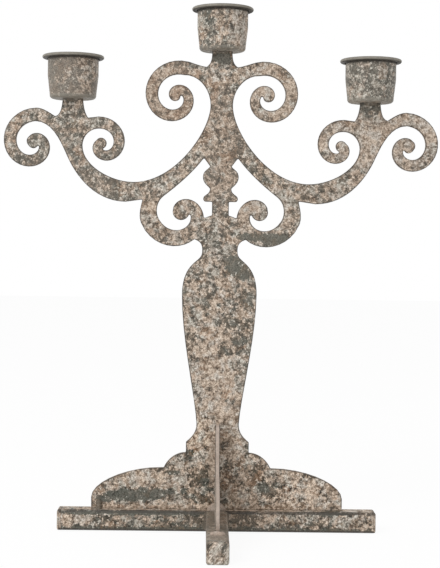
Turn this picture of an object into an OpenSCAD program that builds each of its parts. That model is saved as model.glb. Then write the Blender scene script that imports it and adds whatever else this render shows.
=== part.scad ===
// Three-cup candlestick: a scrolled sheet upright on a cross of square tube.
// Millimetres, +Z up. The origin is on the ground, in the middle of the base cross.
// The upright sheet lies in the XZ plane, and its front faces -Y.

/* [Base cross] */
// Length of the bar under the upright, over its end caps
long_bar_length = 152; // [132:1:190]
// Length from the front end to the rear end, over the end caps
cross_bar_length = 152; // [132:1:190]
// Width and height of the square tube
bar_size = 10; // [8:0.5:14]
// Wall of the square tube
bar_wall = 1.2; // [0.8:0.1:1.6]
// Radius of the tube's long corners
bar_corner = 1.5; // [0.8:0.1:2]
// Thickness of the end caps
cap_t = 2; // [1.5:0.1:3]
// Radius round the face of an end cap
cap_edge = 1.4; // [0.5:0.1:1.5]

/* [Sheet] */
// Thickness of the upright sheet
plate_t = 2; // [1.5:0.1:3]
// Thickness of the two fins
fin_t = 2; // [1.5:0.1:3]
// Radius that the cutter leaves in inside corners
notch_r = 0.5; // [0.2:0.1:0.8]

/* [Foot and baluster] */
// Half width of the foot at its toes
toe_half = 60; // [45:0.5:63]
// Height of the upright part of the toe
toe_h = 5.5; // [3:0.5:8]
// Height of the long rounded tier
tier_h = 14.4; // [10:0.1:18]
// Half width at the top of the long tier
tier_half = 26.5; // [22:0.5:32]
// Height of the small quarter round
round_h = 7.4; // [5:0.1:10]
// How far the quarter round stands back from the long tier
tier_step = 1; // [0.5:0.1:2]
// Half width of the square collar
collar_half = 15; // [13:0.5:19]
// Height of the collar
collar_h = 5; // [3:0.5:8]
// Height of the flare above the collar
flare_h = 8.7; // [6:0.1:12]
// Half width of the waist
waist_half = 10.1; // [8:0.1:12]
// Height from the waist to the widest place of the baluster
taper_h = 62; // [45:1:80]
// Half width of the baluster
belly_half = 17.8; // [14:0.1:21]
// Height from the widest place to the neck
shoulder_h = 21; // [17:0.5:26]
// Half width where the shoulder turns from round to hollow
ogee_half = 12.4; // [10:0.1:14]
// How far that place lies below the neck
ogee_drop = 6.2; // [3:0.1:7]
// Half width of the neck
neck_half = 8.4; // [7:0.1:10]
// Height from the neck to the notch under the lower scrolls
crown_h = 5; // [4:0.5:7]
// Half width at that notch
crown_half = 11.8; // [10:0.1:13]

/* [Finial] */
// Height of the crown's dome above the notch under the lower scrolls
arch_h = 11.6; // [11:0.1:13]
// How much the dome drops from the stem to its edges
arch_drop = 1.5; // [0.8:0.1:2]
// Height of the finial's stem between the dome and the skirt
stem_h = 6.5; // [5:0.1:8]
// Half width of the finial's stem
stem_half = 4; // [3:0.1:5]
// Half width of its skirt
skirt_half = 7.5; // [6.5:0.1:9]
// Height of the skirt's round lip
lip_h = 3; // [2:0.1:4]
// Height of the skirt up to the waist above it
skirt_h = 6.2; // [5:0.1:8]
// Height from that waist to the widest place of the knob
knob_rise = 5.5; // [4.5:0.1:7]
// Half width of the knob
knob_half = 8.5; // [7:0.1:9.5]
// Height of the knob above its widest place
knob_h = 5.1; // [4:0.1:6]
// Half width of the finial's waists
pinch_half = 5.1; // [4:0.1:6]
// Half width at the corner where the arms leave the finial
vee_half = 8.1; // [7:0.1:9.5]
// Height of that corner above the knob's top
vee_rise = 4; // [3:0.1:5]

/* [Arms] */
// Distance of the side cups from the middle
arm_reach = 70.7; // [62:0.1:84]
// Height of the arm's lowest place above the notch under the lower scrolls
arm_low = 17.6; // [15:0.1:20]
// Width of the arm there
arm_w = 9.4; // [7.5:0.1:11]
// How far the arm's underside rises from there to the corner at the heart
heel_rise = 1.2; // [0:0.1:2]
// Distance of that corner from the lower scroll's centre, sideways
heel_out = 18.4; // [17:0.1:19.5]
// Where the heart's inside edge turns downwards: outwards from the corner by the finial
bay_out = 19.2; // [17:0.1:21]
// The same place, downwards from that corner
bay_drop = 18.5; // [16:0.1:20]
// Where the arm's outer edge turns upwards: outwards from the side cup's middle
hip_out = 2.1; // [0:0.1:4]
// The same place, below the side cup's seat
hip_drop = 27.8; // [26:0.1:30]
// Where the arm is steepest on its inner side: inwards from the side cup's middle
throat_in = 4.7; // [3.5:0.1:6]
// The same place, below the side cup's seat
throat_drop = 22; // [20:0.1:24]
// Half width of the middle stem at its narrowest
waist_stem_half = 5.3; // [4.5:0.1:6]
// How far that place lies below the middle cup's seat
waist_stem_drop = 25.5; // [23:0.1:28]

/* [Necks] */
// Half width of the sheet where it carries a cup
seat_half = 4.8; // [4:0.1:6]
// Foot of the side neck on its outer side: outwards from the cup's middle
outer_notch_out = 8.3; // [7:0.1:10]
// The same place, below the cup's seat
outer_notch_drop = 8.3; // [6.5:0.1:10]
// Foot of the side neck on its inner side: inwards from the cup's middle
inner_notch_in = 7.3; // [6:0.1:9]
// The same place, below the cup's seat
inner_notch_drop = 8.8; // [7:0.1:10]
// Half width at the foot of the middle neck
upper_notch_half = 7.5; // [6.5:0.1:9]
// How far the foot of the middle neck lies below the cup's seat
upper_notch_drop = 7.5; // [6.5:0.1:9]

/* [Cups] */
// Height of the middle cup's seat above the notch under the lower scrolls
centre_rise = 89.5; // [84:0.5:100]
// Height of the side cups' seats above the same notch
side_rise = 66; // [60:0.5:72]
// Height of a cup
cup_h = 20.5; // [17:0.5:26]
// Inside diameter of a cup's straight upper part
cup_bore = 22.4; // [18:0.1:26]
// Height of the straight upper part
cup_straight_h = 8; // [6:0.5:10]
// How much smaller the radius is at the floor
cup_taper = 1; // [0.5:0.1:1.5]
// Thickness of the cup's sheet
cup_wall = 0.8; // [0.6:0.1:1.2]
// Radius round the floor
cup_floor_r = 1.6; // [1:0.1:2.5]
// How far the hemmed rim stands out from the cup
rim_reach = 2.6; // [2:0.1:4]
// Height of the rim, where the sheet is folded back on itself
rim_t = 1.6; // [1.2:0.1:2.4]
// Radius of the cup's mouth, where the bore turns into the rim
mouth_r = 0.8; // [0.4:0.1:1.2]

/* [Scrolls] */
// Distance of the upper scroll's centre from the middle
upper_out = 21.9; // [20.5:0.1:23.5]
// How far it lies below the middle cup's seat
upper_drop = 21.9; // [20.5:0.1:23.5]
// Spiral radius at which the upper scroll leaves the stem
upper_r = 14.5; // [12:0.5:16]
// Width of the upper scroll's band at its start
upper_w = 6.6; // [5:0.1:7.5]
// Width of the upper scroll's band at its end
upper_tip_w = 3.6; // [3:0.1:5]
// Radius of the upper scroll's eye
upper_eye_r = 2.2; // [1.8:0.1:2.8]
// Distance of the outer scroll's centre from the side cup's middle
outer_out = 18.6; // [17.5:0.1:20]
// How far it lies below the side cup's seat
outer_drop = 21.4; // [20:0.1:23]
// Spiral radius at which the outer scroll leaves the arm
outer_r = 13.9; // [12:0.1:16]
// Width of the outer scroll's band at its start
outer_w = 6.3; // [5:0.1:7]
// Width of the outer scroll's band at its end
outer_tip_w = 4.4; // [3.5:0.1:5.5]
// Radius of the outer scroll's eye
outer_eye_r = 2.8; // [2:0.1:3.4]
// Distance of the inner scroll's centre from the side cup's middle
inner_in = 14.4; // [13:0.1:15.5]
// How far it lies below the side cup's seat
inner_drop = 21.5; // [20:0.1:23]
// Spiral radius at which the inner scroll leaves the arm
inner_r = 11; // [9.5:0.5:12.5]
// Width of the inner scroll's band at its start
inner_w = 5.7; // [4.5:0.1:6.5]
// Width of the inner scroll's band at its end
inner_tip_w = 4.2; // [3:0.1:4.6]
// Radius of the inner scroll's eye
inner_eye_r = 2.6; // [2:0.1:3]
// Distance of the lower scroll's centre from the middle
lower_out = 18.7; // [18:0.1:20]
// Height of that centre above the notch under the lower scrolls
lower_rise = 12.4; // [11.5:0.1:13.5]
// Spiral radius at which the lower scroll leaves the arm
lower_r = 15.3; // [14:0.1:17]
// Width of the lower scroll's band at its start
lower_w = 8.6; // [7:0.1:9.5]
// Width of the lower scroll's band at its end
lower_tip_w = 4.2; // [3.4:0.1:6]
// Radius of the lower scroll's eye
lower_eye_r = 4; // [3:0.1:4.5]

/* [Welds] */
// Radius of the beads under the cups
cup_bead_r = 1.2; // [0.8:0.1:1.8]
// Length of the straight part of those beads
cup_bead_len = 3.6; // [2:0.1:5]
// Half width of the tacks at the upright's toes
toe_tack_r = 1.5; // [1:0.1:2.2]
// Height of those tacks above the bar
toe_tack_h = 3.9; // [2.5:0.1:5]
// Distance of those tacks from the tip of the toe
toe_tack_in = 3.8; // [2.5:0.1:6]
// Radius of the tacks at the roots of the fins
root_tack_r = 3.2; // [2:0.1:4]
// Radius of the tacks before the fins' toes
fin_tack_r = 2.5; // [1.5:0.1:3]
// Radius of the upright beads between the bars
bar_bead_r = 1.2; // [0.8:0.1:2]

/* [Hidden] */
$fn = 48;

// Steps on a short and on a long curved span of an outline, and on each half turn of a scroll
span_steps = 9;
long_steps = 14;
scroll_steps = 18;
// Steps on the small rounds of a cup's profile
round_steps = 6;
// A little more than nothing, for cuts that have to run clear through a face
over = 1;
// The least corner radius inside the tube, where its wall takes up the outer one
least_corner = 0.3;

// Levels of the foot and baluster, each stacked on the one below
z_bar = bar_size;
z_toe = z_bar + toe_h;
z_tier = z_toe + tier_h;
z_collar = z_tier + round_h;
z_flare = z_collar + collar_h;
z_waist = z_flare + flare_h;
z_belly = z_waist + taper_h;
z_neck = z_belly + shoulder_h;
z_crown = z_neck + crown_h;
z_centre_seat = z_crown + centre_rise;
z_side_seat = z_crown + side_rise;

// Half width of the quarter round
round_half = tier_half - tier_step;

// Radii and levels of a cup
cup_r = cup_bore / 2 + cup_wall;
floor_r = cup_r - cup_taper;
rim_r = cup_r + rim_reach;
z_rim = cup_h - rim_t;
z_straight = z_rim - cup_straight_h;

// Levels of the finial
z_arch = z_crown + arch_h;
z_skirt = z_arch + stem_h;
z_lip = z_skirt + lip_h;
z_pinch = z_skirt + skirt_h;
z_knob = z_pinch + knob_rise;
z_knob_top = z_knob + knob_h;
// How far the skirt's lip turns in at its bottom and at its top
lip_in = 0.6;

// Places on the arm's edges, as x and z
vee = [vee_half, z_knob_top + vee_rise];
bay = vee + [bay_out, -bay_drop];
// The arm is lowest at these shares of its reach, on its underside and on its upper side
under_share = 0.64;
top_share = 0.59;
under_low = [arm_reach * under_share, z_crown + arm_low];
top_low = [arm_reach * top_share, z_crown + arm_low + arm_w];
hip = [arm_reach + hip_out, z_side_seat - hip_drop];
throat = [arm_reach - throat_in, z_side_seat - throat_drop];
waist_stem = [waist_stem_half, z_centre_seat - waist_stem_drop];
outer_seat = [arm_reach + seat_half, z_side_seat];
inner_seat = [arm_reach - seat_half, z_side_seat];
outer_notch = [arm_reach + outer_notch_out, z_side_seat - outer_notch_drop];
inner_notch = [arm_reach - inner_notch_in, z_side_seat - inner_notch_drop];
upper_notch = [upper_notch_half, z_centre_seat - upper_notch_drop];

// Each scroll's centre, the angle at which it leaves its arm, how far it turns, clockwise where
// that is positive, its radius at the end, and where its eye lies from the centre
upper_c = [upper_out, z_centre_seat - upper_drop];
upper_from = 110;
upper_turn = 489;
upper_tip_r = 0;
upper_eye = [0, 0.4];
outer_c = [arm_reach + outer_out, z_side_seat - outer_drop];
outer_from = 94.5;
outer_turn = 429;
outer_tip_r = 0;
outer_eye = [0.3, 1.2];
inner_c = [arm_reach - inner_in, z_side_seat - inner_drop];
inner_from = 69;
inner_turn = -326;
inner_tip_r = 1;
inner_eye = [0.8, 0.7];
lower_c = [lower_out, z_crown + lower_rise];
lower_from = -14;
lower_turn = 291;
lower_tip_r = 2.9;
lower_eye = [0, 0.8];
// The lower scroll closes faster at first by this power
lower_ease = 1.2;

// Colours: the mottled finish in its main tones
sheet_colour = "#8f867b";
bar_colour = "#857c72";
cup_colour = "#77746b";
weld_colour = "#6b5f55";

// A point at the given radius and angle from a centre
function around(centre, r, angle) = centre + r * [cos(angle), sin(angle)];

// A curve from a to d. It leaves a at the angle from_a and reaches d from the angle from_d.
// Each hold says how far it keeps to that angle, as a share of the straight way.
function bend(a, from_a, hold_a, d, from_d, hold_d, n = span_steps) =
    let (way = norm(d - a), b = around(a, way * hold_a, from_a), c = around(d, way * hold_d, from_d))
    [for (i = [0 : n])
        let (t = i / n, s = 1 - t)
            s * s * s * a + 3 * s * s * t * b + 3 * s * t * t * c + t * t * t * d];

// The right-hand edge of the foot, from its toe up to the waist
function foot_edge() = concat(
    [[toe_half, z_bar]],
    bend([toe_half, z_toe], 90, 0.19, [tier_half, z_tier], 0, 0.46),
    bend([round_half, z_tier], 112, 0.32, [collar_half, z_collar], 0, 0.38),
    bend([collar_half, z_flare], 140, 0.34, [waist_half, z_waist], -90, 0.43)
);

// The right-hand edge of the baluster, from its waist up to the notch
function baluster_edge() = let (ogee = [ogee_half, z_neck - ogee_drop]) concat(
    bend([waist_half, z_waist], 87, 0.2, [belly_half, z_belly], -90, 0.34),
    bend([belly_half, z_belly], 90, 0.54, ogee, -43, 0.22),
    bend(ogee, 137, 0.48, [neck_half, z_neck], -90, 0.45),
    bend([neck_half, z_neck], 90, 0.52, [crown_half, z_crown], -158, 0.37)
);

// A scroll: an Archimedean spiral band that narrows towards a round eye.
// It starts at the angle from_a and turns by the angle turn, clockwise where that is positive.
// With an ease above 1 it closes faster at first.
module scroll(centre, from_a, turn, r_start, r_end, w_start, w_end, eye, eye_r, ease = 1) {
    n = round(abs(turn) / 180 * scroll_steps);
    path = [for (i = [0 : n]) let (t = i / n, r = r_end + (r_start - r_end) * pow(1 - t, ease))
        around(centre, r, from_a - turn * t)];
    ahead = [for (i = [1 : n]) path[min(i + 1, n)] - path[i - 1]];
    side = [around([0, 0], sign(turn), from_a), for (d = ahead) [-d[1], d[0]] / norm(d)];
    half = [for (i = [0 : n]) (w_start + (w_end - w_start) * i / n) / 2];
    for (i = [0 : n - 1])
        polygon([path[i] + side[i] * half[i], path[i + 1] + side[i + 1] * half[i + 1],
                 path[i + 1] - side[i + 1] * half[i + 1], path[i] - side[i] * half[i]]);
    translate(path[n]) circle(w_end / 2);
    translate(centre + eye) circle(eye_r);
}

// Foot, baluster and crown, right-hand half. Between the notch and the dome, its points lie
// inside the lower scroll's band.
module column_outline() {
    under_scroll = around(lower_c, lower_r * 0.76, -108);
    polygon(concat(
        [[0, z_bar]], foot_edge(), baluster_edge(),
        bend([crown_half, z_crown], 10, 0.34, under_scroll, -176, 0.43),
        [around(lower_c, lower_r * 0.54, -117), around(lower_c, lower_r * 0.48, 180)],
        bend([skirt_half + lip_in, z_arch - arch_drop], 157, 0.34, [stem_half, z_arch], -10, 0.27),
        [[0, z_arch]]));
}

// The turned-looking finial between the lower scrolls, right-hand half
module finial_outline() {
    lip = [skirt_half - lip_in, z_skirt];
    lip_top = [skirt_half - lip_in / 3, z_lip];
    polygon(concat(
        [[0, z_arch - arch_drop], [stem_half, z_arch - arch_drop], [stem_half, z_skirt]],
        bend(lip, 0, 0.49, lip_top, -34, 0.59),
        bend(lip_top, 146, 0.47, [pinch_half, z_pinch], -90, 0.37),
        bend([pinch_half, z_pinch], 68, 0.17, [knob_half, z_knob], -90, 0.49),
        bend([knob_half, z_knob], 90, 0.51, [pinch_half, z_knob_top], -57, 0.29),
        [vee, [0, vee[1] + vee_rise]]));
}

// The stem, one arm and the necks of its cups, right-hand half
module arm_outline() {
    crest = around(outer_c, outer_r + outer_w / 2, outer_from);
    under_crest = around(outer_c, outer_r - outer_w / 2, outer_from);
    inner_crest = around(inner_c, inner_r + inner_w / 2, inner_from);
    inner_under = around(inner_c, inner_r - inner_w / 2, inner_from);
    upper_crest = around(upper_c, upper_r + upper_w / 2, upper_from);
    upper_under = around(upper_c, upper_r - upper_w / 2, upper_from);
    lower_under = around(lower_c, lower_r - lower_w / 2, lower_from);
    lower_crest = around(lower_c, lower_r + lower_w / 2, lower_from);
    heel = [lower_c[0] + heel_out, under_low[1] + heel_rise];
    polygon(concat(
        [[0, vee[1]]],
        bend(vee, -53, 0.39, bay, 142, 0.23),
        bend(bay, -40, 0.35, lower_under, lower_from + 78, 0.38),
        bend(lower_crest, lower_from + 82, 0.33, heel, -76, 0.33),
        bend(under_low, 0, 0.4, hip, -115, 0.32, long_steps),
        bend(hip, 65, 0.3, under_crest, 180, 0.37),
        bend(crest, 180, 0.35, outer_notch, 32, 0.27),
        bend(outer_notch, 165, 0.26, outer_seat, -86, 0.58),
        bend(inner_seat, -94, 0.53, inner_notch, 52, 0.19),
        [inner_crest],
        bend(inner_under, -7, 0.35, throat, 90, 0.41),
        bend(throat, -90, 0.31, top_low, 0, 0.37, long_steps),
        bend(top_low, 180, 0.38, waist_stem, -90, 0.24, 2 * long_steps),
        bend(waist_stem, 90, 0.38, upper_under, 177, 0.38),
        bend(upper_crest, -162, 0.44, upper_notch, 8, 0.25),
        bend(upper_notch, 149, 0.3, [seat_half, z_centre_seat], -90, 0.54),
        [[0, z_centre_seat]]));
}

// The four scrolls of the right-hand half
module scroll_outlines() {
    scroll(upper_c, upper_from, upper_turn, upper_r, upper_tip_r, upper_w, upper_tip_w,
           upper_eye, upper_eye_r);
    scroll(outer_c, outer_from, outer_turn, outer_r, outer_tip_r, outer_w, outer_tip_w,
           outer_eye, outer_eye_r);
    scroll(inner_c, inner_from, inner_turn, inner_r, inner_tip_r, inner_w, inner_tip_w,
           inner_eye, inner_eye_r);
    scroll(lower_c, lower_from, lower_turn, lower_r, lower_tip_r, lower_w, lower_tip_w,
           lower_eye, lower_eye_r, lower_ease);
}

module scroll_plate() {
    color(sheet_colour)
        rotate([90, 0, 0])
            linear_extrude(plate_t, center = true)
                offset(r = -notch_r, $fn = 20) offset(delta = notch_r)
                    for (s = [0, 1]) mirror([s, 0]) {
                        column_outline();
                        finial_outline();
                        arm_outline();
                        scroll_outlines();
                    }
}

// Half of the foot's profile again, standing on the front or rear bar
module fin(heading) {
    color(sheet_colour)
        rotate([90, 0, heading])
            linear_extrude(fin_t, center = true)
                polygon(concat([[plate_t / 2, z_bar]], foot_edge(), [[plate_t / 2, z_waist]]));
}

module front_fin() fin(-90);

module rear_fin() fin(90);

// A square with round corners, centred
module rounded_square(size, r) {
    square([size - 2 * r, size], center = true);
    square([size, size - 2 * r], center = true);
    for (x = [-1, 1], y = [-1, 1])
        translate([x, y] * (size / 2 - r)) circle(r);
}

// A length of square tube along X, from the plane x = 0
module square_tube(length) {
    rotate([90, 0, 90])
        linear_extrude(length)
            difference() {
                rounded_square(bar_size, bar_corner);
                rounded_square(bar_size - 2 * bar_wall, max(bar_corner - bar_wall, least_corner));
            }
}

module long_base_bar() {
    length = long_bar_length - 2 * cap_t;
    color(bar_colour)
        translate([-length / 2, 0, bar_size / 2]) square_tube(length);
}

// A bar from the side of the long one out to its own cap
module cross_bar(heading) {
    color(bar_colour)
        rotate([0, 0, heading])
            translate([bar_size / 2, 0, bar_size / 2])
                square_tube(cross_bar_length / 2 - cap_t - bar_size / 2);
}

module front_base_bar() cross_bar(-90);

module rear_base_bar() cross_bar(90);

// The outline of a cap seen across the bar: square where it is welded on, round outside
module cap_outline() {
    translate([0, -bar_size / 2]) square([cap_t - cap_edge, bar_size]);
    translate([0, cap_edge - bar_size / 2]) square([cap_t, bar_size - 2 * cap_edge]);
    for (y = [-1, 1])
        translate([cap_t - cap_edge, y * (bar_size / 2 - cap_edge)]) circle(cap_edge);
}

// An end cap, welded on a tube's mouth and ground to a round edge.
// Each pair of edges is rounded by its own prism, and the cap is what all three share.
module end_cap(reach, heading) {
    color(bar_colour)
        rotate([0, 0, heading])
            translate([reach - cap_t, 0, bar_size / 2])
                intersection() {
                    rotate([90, 0, 90]) linear_extrude(cap_t) rounded_square(bar_size, bar_corner);
                    linear_extrude(bar_size + over, center = true) cap_outline();
                    rotate([90, 0, 0]) linear_extrude(bar_size + over, center = true) cap_outline();
                }
}

module left_end_cap() end_cap(long_bar_length / 2, 180);

module right_end_cap() end_cap(long_bar_length / 2, 0);

module front_end_cap() end_cap(cross_bar_length / 2, -90);

module rear_end_cap() end_cap(cross_bar_length / 2, 90);

// Points on an arc round c
function arc(c, r, from_a, to_a, n = round_steps) =
    [for (i = [0 : n]) around(c, r, from_a + (to_a - from_a) * i / n)];

// A cup drawn from sheet: a floor with a round edge, a taper, a straight mouth and a hemmed rim
module candle_cup(x, z) {
    inner_floor_r = cup_floor_r - cup_wall;
    color(cup_colour)
        translate([x, 0, z])
            rotate_extrude($fn = 72)
                polygon(concat(
                    [[0, 0]],
                    arc([floor_r - cup_floor_r, cup_floor_r], cup_floor_r, -90, 0),
                    [[cup_r, z_straight], [cup_r, z_rim]],
                    arc([rim_r - rim_t / 2, cup_h - rim_t / 2], rim_t / 2, -90, 90),
                    arc([cup_r - cup_wall + mouth_r, cup_h - mouth_r], mouth_r, 90, 180),
                    [[cup_r - cup_wall, z_straight]],
                    arc([floor_r - cup_floor_r, cup_floor_r], inner_floor_r, 0, -90),
                    [[0, cup_wall]]));
}

module left_candle_cup() candle_cup(-arm_reach, z_side_seat);

module centre_candle_cup() candle_cup(0, z_centre_seat);

module right_candle_cup() candle_cup(arm_reach, z_side_seat);

// A weld bead along X in the corner above and behind: it fills the quarter where y < 0 and z < 0
module bead(length, r) {
    reach = length + 2 * (r + over);
    intersection() {
        union() {
            rotate([0, 90, 0]) cylinder(h = length, r = r, center = true);
            for (s = [-1, 1]) translate([s * length / 2, 0, 0]) sphere(r);
        }
        translate([-reach / 2, -r - over, -r - over]) cube([reach, r + over, r + over]);
    }
}

// Beads under each cup's floor, on both faces of its neck
module cup_weld_beads() {
    seats = [[-arm_reach, z_side_seat], [0, z_centre_seat], [arm_reach, z_side_seat]];
    color(weld_colour)
        for (seat = seats, turn = [0, 180])
            translate([seat[0], 0, seat[1]])
                rotate([0, 0, turn])
                    translate([0, -plate_t / 2, 0]) bead(cup_bead_len, cup_bead_r);
}

// Upright tacks where the toes stand on the bar: the left one in front, the right one behind
module plate_toe_welds() {
    color(weld_colour)
        for (turn = [0, 180])
            rotate([0, 0, turn])
                translate([toe_tack_in - toe_half, -plate_t / 2, z_bar])
                    intersection() {
                        union() {
                            cylinder(h = toe_tack_h - toe_tack_r, r = toe_tack_r);
                            translate([0, 0, toe_tack_h - toe_tack_r]) sphere(toe_tack_r);
                        }
                        translate([-toe_tack_r - over, -toe_tack_r - over, 0])
                            cube([2 * (toe_tack_r + over), toe_tack_r + over, toe_tack_h + over]);
                    }
}

// Tacks in the four corners where upright, fin and bar meet
module fin_root_welds() {
    color(weld_colour)
        for (x = [0, 1], y = [0, 1])
            mirror([x, 0, 0]) mirror([0, y, 0])
                translate([fin_t / 2, plate_t / 2, z_bar])
                    intersection() {
                        sphere(root_tack_r);
                        cube(root_tack_r + over);
                    }
}

// A tack before the toe of each fin
module fin_toe_welds() {
    color(weld_colour)
        for (turn = [0, 180])
            rotate([0, 0, turn])
                translate([0, -toe_half, z_bar])
                    intersection() {
                        sphere(fin_tack_r);
                        translate([-fin_tack_r - over, -fin_tack_r - over, 0])
                            cube([2 * (fin_tack_r + over), fin_tack_r + over, fin_tack_r + over]);
                    }
}

// Upright beads in the corners between the long bar and the cross bars
module base_joint_welds() {
    color(weld_colour)
        for (x = [0, 1], y = [0, 1])
            mirror([x, 0, 0]) mirror([0, y, 0])
                translate([bar_size / 2, bar_size / 2, bar_corner])
                    intersection() {
                        cylinder(h = bar_size - 2 * bar_corner, r = bar_bead_r);
                        cube([bar_bead_r + over, bar_bead_r + over, bar_size]);
                    }
}

scroll_plate();
front_fin();
rear_fin();
long_base_bar();
front_base_bar();
rear_base_bar();
left_end_cap();
right_end_cap();
front_end_cap();
rear_end_cap();
left_candle_cup();
centre_candle_cup();
right_candle_cup();
cup_weld_beads();
plate_toe_welds();
fin_root_welds();
fin_toe_welds();
base_joint_welds();
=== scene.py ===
"""Three-cup candlestick: a scrolled steel sheet on a cross of square tube, in distressed chalk paint.

The packed parts give every size and place. This add-on dresses them: the sheets get rounded cut
edges, the cups are spun with a hemmed rim, the welds are laid as beads, and all of it is painted.
"""

import math

import bmesh
import bpy
from bpy.props import FloatProperty, FloatVectorProperty, IntProperty, PointerProperty
from mathutils import Matrix, Vector


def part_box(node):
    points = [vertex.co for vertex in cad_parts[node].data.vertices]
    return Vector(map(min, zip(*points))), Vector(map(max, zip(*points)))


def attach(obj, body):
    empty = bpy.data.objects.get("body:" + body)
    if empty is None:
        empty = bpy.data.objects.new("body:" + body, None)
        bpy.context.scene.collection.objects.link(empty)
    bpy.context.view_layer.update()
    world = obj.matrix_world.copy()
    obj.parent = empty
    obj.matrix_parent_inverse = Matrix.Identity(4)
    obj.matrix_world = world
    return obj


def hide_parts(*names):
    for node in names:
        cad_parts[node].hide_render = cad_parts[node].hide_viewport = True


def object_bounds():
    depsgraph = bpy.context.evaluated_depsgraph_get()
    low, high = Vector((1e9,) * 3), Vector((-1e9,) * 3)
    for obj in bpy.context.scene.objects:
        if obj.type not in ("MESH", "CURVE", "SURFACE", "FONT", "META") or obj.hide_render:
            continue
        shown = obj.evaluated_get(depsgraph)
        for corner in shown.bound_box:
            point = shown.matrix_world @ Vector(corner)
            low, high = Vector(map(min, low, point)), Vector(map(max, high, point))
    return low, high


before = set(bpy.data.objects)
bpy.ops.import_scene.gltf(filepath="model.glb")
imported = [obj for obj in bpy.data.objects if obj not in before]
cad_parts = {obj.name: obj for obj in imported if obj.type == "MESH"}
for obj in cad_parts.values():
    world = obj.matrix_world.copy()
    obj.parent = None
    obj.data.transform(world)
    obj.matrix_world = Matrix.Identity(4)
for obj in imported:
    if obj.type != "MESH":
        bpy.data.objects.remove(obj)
CAD_LOW, CAD_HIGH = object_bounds()

bl_info = {
    "name": "Three-cup candlestick",
    "version": (1, 0, 0),
    "blender": (4, 5, 0),
    "location": "View3D > Sidebar > Candlestick",
    "description": "Scrolled sheet candlestick with drawn cups and distressed paint",
    "category": "Object",
}

MM = 0.001
BODY = "root"
FAR = 1e6  # a reach in millimetres that no place of the candlestick leaves
SAME_PLACE = 1e-6  # points closer than this are one
SHEET_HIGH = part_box("scroll_plate")[1]
BAR_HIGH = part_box("long_base_bar")[1]
CUPS = ("left_candle_cup", "centre_candle_cup", "right_candle_cup")
CUP_LOW, CUP_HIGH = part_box(CUPS[0])


def linear(hex_colour):
    """An sRGB hex value as a linear colour."""
    parts = [int(hex_colour[i : i + 2], 16) / 255 for i in (1, 3, 5)]
    return [c / 12.92 if c <= 0.04045 else ((c + 0.055) / 1.055) ** 2.4 for c in parts]


def seat_of(node):
    """The middle of a node's underside."""
    low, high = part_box(node)
    return (low.x + high.x) / 2, (low.y + high.y) / 2, low.z


# Sizes and colours that a user would change


class SheetSettings(bpy.types.PropertyGroup):
    """The upright sheet and its fins."""

    edge_round: FloatProperty(
        name="Edge round", description="Radius on the cut edges, left by the paint",
        default=0.25 * MM, min=0.05 * MM, max=0.6 * MM, precision=5, unit="LENGTH")
    worn_band: FloatProperty(
        name="Worn band", description="Width of the band along an edge where the paint is thin",
        default=0.7 * MM, min=0.2 * MM, max=1.5 * MM, precision=5, unit="LENGTH")


class CupSettings(bpy.types.PropertyGroup):
    """The three drawn cups."""

    wall: FloatProperty(
        name="Wall", description="Thickness of the cup's sheet",
        default=0.8 * MM, min=0.4 * MM, max=1.2 * MM, precision=5, unit="LENGTH")
    rim_reach: FloatProperty(
        name="Rim reach", description="How far the rim stands out from the cup",
        default=2.6 * MM, min=1 * MM, max=4 * MM, precision=5, unit="LENGTH")
    rim_height: FloatProperty(
        name="Rim height", description="Height of the folded rim",
        default=1.6 * MM, min=0.8 * MM, max=2.4 * MM, precision=5, unit="LENGTH")
    hem_gap: FloatProperty(
        name="Hem gap", description="Gap between the cup and the cut edge of the folded rim",
        default=0.35 * MM, min=0.1 * MM, max=0.8 * MM, precision=5, unit="LENGTH")
    segments: IntProperty(
        name="Segments", description="Steps round the cup", default=128, min=24, max=256)


class WeldSettings(bpy.types.PropertyGroup):
    """The weld beads and tacks."""

    ripple: FloatProperty(
        name="Ripple pitch", description="Distance from one ripple of a bead to the next",
        default=0.7 * MM, min=0.3 * MM, max=2 * MM, precision=5, unit="LENGTH")
    skin: FloatProperty(
        name="Skin", description="Finest detail of a bead's surface",
        default=0.14 * MM, min=0.08 * MM, max=0.4 * MM, precision=5, unit="LENGTH")
    seed: IntProperty(name="Seed", description="Which random lumps the beads get", default=4, min=0)


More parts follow.
